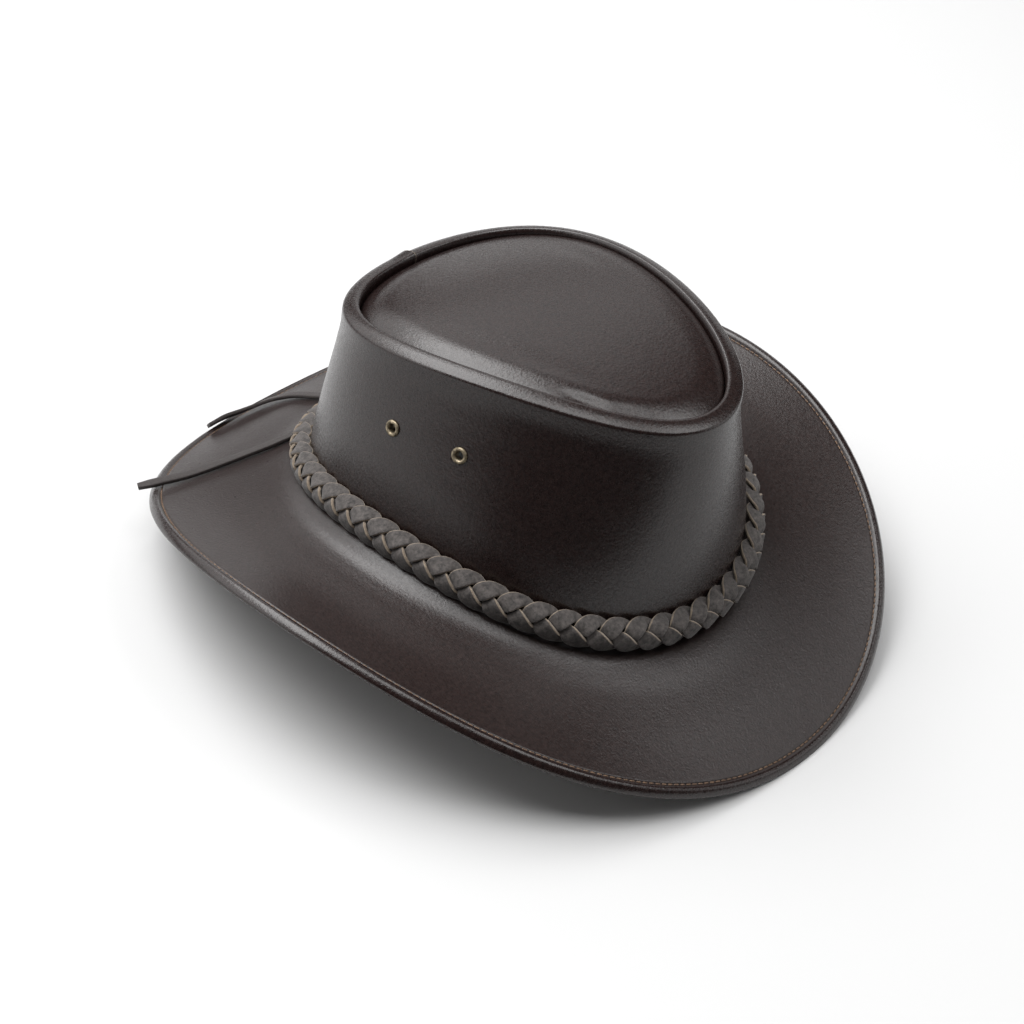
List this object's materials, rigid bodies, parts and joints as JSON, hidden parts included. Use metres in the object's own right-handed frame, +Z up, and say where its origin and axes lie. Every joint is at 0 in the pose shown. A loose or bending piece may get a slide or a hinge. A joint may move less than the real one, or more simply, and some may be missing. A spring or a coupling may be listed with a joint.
{
  "type": "leather cowboy hat",
  "caption": "Dark leather western hat with a domed top set into a rolled rim, a wide brim turned up at the sides, a plaited band with loose lace ends and brass eyelets.",
  "frame": {"origin": "on the floor in the middle of the brim, under the crown, with the hat standing on the front and back of its hem", "axes": "+Z up, -Y towards the front of the hat, -X towards the wearer's right"},
  "size_m": [0.3144, 0.3368, 0.1433],
  "materials": {
    "hat_leather": "waxed, near black, softly shiny",
    "band_leather": "matt, suede-like",
    "eyelet_brass": "antique"
  },
  "bodies": {
    "root": {"crown_wall": "hat_leather", "crown_top": "hat_leather", "brim": "hat_leather", "band_strip_1": "band_leather", "band_strip_2": "band_leather", "band_strip_3": "band_leather", "band_knot": "band_leather", "band_tail_right": "band_leather", "band_tail_left": "band_leather", "eyelet_right_back": "eyelet_brass", "eyelet_right_front": "eyelet_brass", "eyelet_left_back": "eyelet_brass", "eyelet_left_front": "eyelet_brass"}
  },
  "joints": []
}
